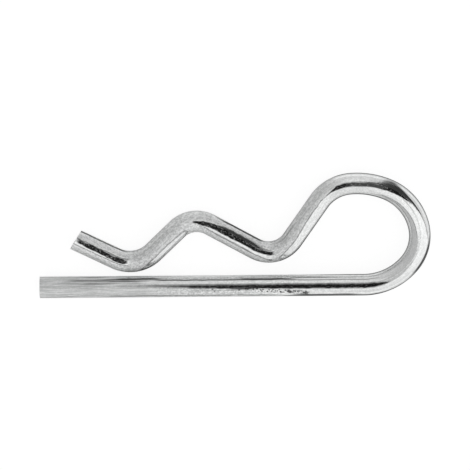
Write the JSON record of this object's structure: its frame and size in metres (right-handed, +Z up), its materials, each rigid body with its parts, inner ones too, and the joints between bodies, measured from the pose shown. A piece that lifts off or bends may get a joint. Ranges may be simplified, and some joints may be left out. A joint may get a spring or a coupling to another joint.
{
  "type": "hitch r clip pin",
  "caption": "R-shaped retaining clip bent from round plated spring wire: a straight leg, a round eye to pull it by, and a wavy spring arm that snaps over a shaft.",
  "frame": {"origin": "middle of the clip's bounding box, on the surface that it lies on", "axes": "+X along the straight leg towards the eye, +Y in the clip's plane from the leg towards the arm, +Z up, square to the clip's plane"},
  "size_m": [0.073, 0.023, 0.004],
  "materials": {
    "plated_wire": "bright zinc plated, with fine draw marks along the wire"
  },
  "bodies": {
    "root": {"clip": "plated_wire"}
  },
  "joints": []
}
